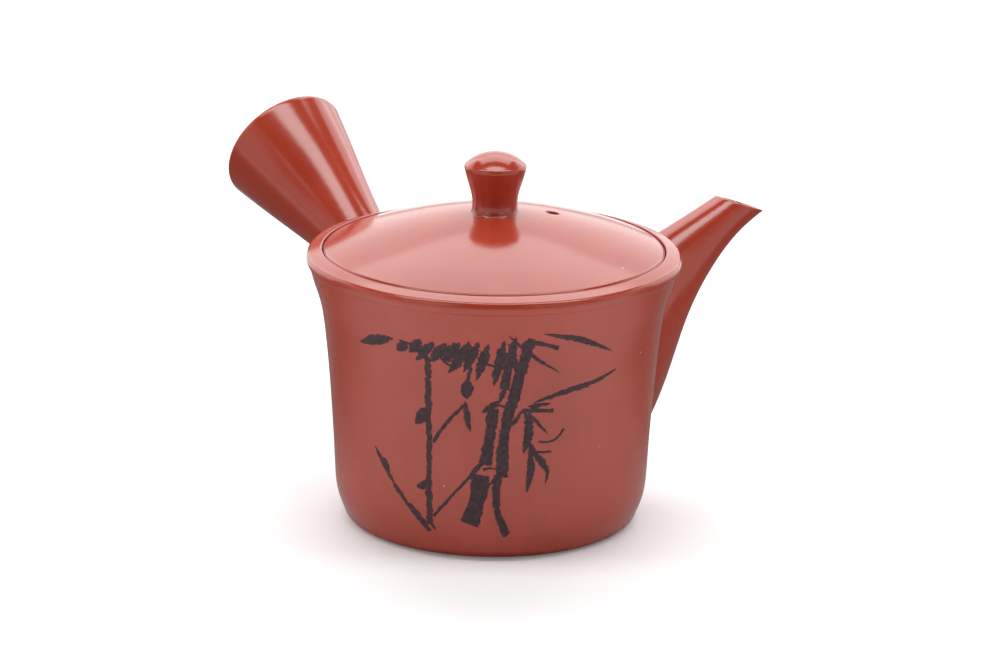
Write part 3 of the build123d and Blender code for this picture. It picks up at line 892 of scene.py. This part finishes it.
def layFloor():
    # white paper to the camera; what the clay mirrors is dim in a band just behind the pot
    s = paperLook
    paper = bpy.data.materials.new("floorPaper")
    paper.use_nodes = True
    tree = paper.node_tree
    shader = tree.nodes["Principled BSDF"]
    seen = add(tree, "ShaderNodeLightPath")["Is Camera Ray"]
    place = add(tree, "ShaderNodeTexCoord")["Object"]
    forward = towards(studio["azimuth"], 0)
    ahead = add(tree, "ShaderNodeVectorMath", {0: place, 1: forward}, operation="DOT_PRODUCT")["Value"]
    apart = sums(tree, "ABSOLUTE", sums(tree, "ADD", ahead, s["dimBehind"]))
    mirrored = add(tree, "ShaderNodeMapRange", {
        "Value": apart, "From Min": s["dimHalf"], "From Max": s["dimEdge"], "To Min": s["dimTone"],
        "To Max": s["tone"]}, interpolation_type="SMOOTHSTEP")["Result"]
    tone = add(tree, "ShaderNodeMapRange", {
        "Value": seen, "To Min": mirrored, "To Max": s["tone"]})["Result"]
    tree.links.new(tone, shader.inputs["Base Color"])
    shader.inputs["Roughness"].default_value = s["rough"]
    shader.inputs["Specular IOR Level"].default_value = s["gloss"]
    shader.inputs["Emission Color"].default_value = (1, 1, 1, 1)
    tree.links.new(sums(tree, "MULTIPLY", seen, s["lift"]), shader.inputs["Emission Strength"])
    h = s["half"]
    corners = [(-h, -h, 0), (h, -h, 0), (h, h, 0), (-h, h, 0)]
    newPiece("floor", corners, [(0, 1, 2, 3)], paper)


def towards(azimuth, tilt):
    a, e = math.radians(azimuth), math.radians(tilt)
    return Vector((math.sin(a) * math.cos(e), -math.cos(a) * math.cos(e), math.sin(e)))


def addCamera():
    s = studio
    place = Vector((0, 0, s["aimHeight"])) + towards(s["azimuth"], s["tilt"]) * s["distance"]
    look = towards(s["azimuth"] + s["pan"], s["tilt"] - s["drop"])
    right = towards(s["azimuth"] + s["pan"] + 90, 0)
    up = look.cross(right)
    roll = math.radians(s["roll"])
    axisX = right * math.cos(roll) + up * math.sin(roll)
    axisY = up * math.cos(roll) - right * math.sin(roll)
    camera = linked("camera", bpy.data.cameras.new("camera"))
    camera.data.lens = s["focal"]
    camera.data.sensor_width = s["sensor"]
    camera.data.clip_end = s["clip"]
    camera.matrix_world = Matrix.Translation(place) @ Matrix((axisX, axisY, look)).transposed().to_4x4()
    scene.camera = camera


softboxes = [  # azimuth round the pot, tilt above the floor, width and height in metres, watts
    {"name": "overhead", "azimuth": -35, "tilt": 83, "width": 1.9, "height": 0.34, "power": 11.5},
    {"name": "backHigh", "azimuth": 145, "tilt": 55, "width": 1.1, "height": 0.7, "power": 7.4},
    {"name": "backLow", "azimuth": 145, "tilt": 20, "width": 1.4, "height": 0.8, "power": 5.8},
    {"name": "backLeft", "azimuth": -165, "tilt": 20, "width": 0.9, "height": 0.9, "power": 4.5},
    {"name": "backRight", "azimuth": 95, "tilt": 20, "width": 0.9, "height": 0.9, "power": 4.5},
    {"name": "left", "azimuth": -120, "tilt": 20, "width": 0.8, "height": 0.9, "power": 1.7},
    {"name": "right", "azimuth": 50, "tilt": 20, "width": 0.8, "height": 0.9, "power": 1.8},
    {"name": "frontLeft", "azimuth": -75, "tilt": 20, "width": 0.7, "height": 0.8, "power": 1.7},
    {"name": "frontRight", "azimuth": 5, "tilt": 20, "width": 0.7, "height": 0.8, "power": 0.9},
]


def addSoftbox(box):
    light = bpy.data.lights.new(box["name"], "AREA")
    light.shape = "RECTANGLE"
    light.size, light.size_y = box["width"], box["height"]
    light.energy = box["power"]
    lamp = linked(box["name"] + "Box", light)
    way = towards(box["azimuth"], box["tilt"])
    lamp.location = way * studio["boxDistance"] + Vector((0, 0, studio["aimHeight"]))
    lamp.rotation_euler = way.to_track_quat("Z", "Y").to_euler()
    lamp.visible_camera = False


def lightRoom():
    # the camera sees plain white behind the floor; the pot sees a dimmer room
    world = bpy.data.worlds.new("studio")
    world.use_nodes = True
    tree = world.node_tree
    seen = add(tree, "ShaderNodeLightPath")["Is Camera Ray"]
    strength = add(tree, "ShaderNodeMapRange", {
        "Value": seen, "To Min": studio["ambient"], "To Max": 1.0})["Result"]
    backdrop = tree.nodes["Background"].inputs
    backdrop["Color"].default_value = (1, 1, 1, 1)
    tree.links.new(strength, backdrop["Strength"])
    scene.world = world
    scene.view_settings.view_transform = "Standard"


layFloor()
addCamera()
for softbox in softboxes:
    addSoftbox(softbox)
lightRoom()
print("studio lit")
